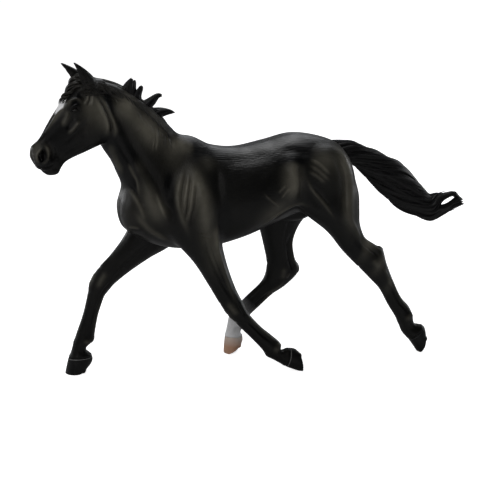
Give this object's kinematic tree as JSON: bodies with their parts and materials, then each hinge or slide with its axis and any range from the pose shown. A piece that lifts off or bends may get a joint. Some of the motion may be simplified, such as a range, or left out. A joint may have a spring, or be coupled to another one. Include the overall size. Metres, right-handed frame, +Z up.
{
  "type": "toy horse figure",
  "caption": "Solid moulded and painted plastic model horse: a black stallion at the pace, one twentieth of life size, standing on its four toes.",
  "frame": {"origin": "on the floor, under the middle of the model's box", "axes": "+X from the nose to the tail, +Y to the horse's right, +Z up; the horse faces -X"},
  "size_m": [0.157, 0.0322, 0.1087],
  "materials": {
    "coat": "satin black paint, softly lightened on the muscles",
    "hair": "satin black paint",
    "dark_horn": "satin black paint",
    "pale_horn": "satin pinkish tan paint",
    "eye": "gloss black paint"
  },
  "bodies": {
    "root": {"trunk": "coat", "neck": "coat", "head": "coat", "ear_left": "coat", "ear_right": "coat", "eye_left": "eye", "eye_right": "eye", "forelock": "hair", "mane": "hair", "tail": "hair", "foreleg_left_upper": "coat", "foreleg_left_lower": "coat", "foreleg_left_hoof": "dark_horn", "foreleg_right_upper": "coat", "foreleg_right_lower": "coat", "foreleg_right_hoof": "dark_horn", "hindleg_left_upper": "coat", "hindleg_left_lower": "coat", "hindleg_left_hoof": "dark_horn", "hindleg_right_upper": "coat", "hindleg_right_lower": "coat", "hindleg_right_hoof": "pale_horn"}
  },
  "joints": []
}
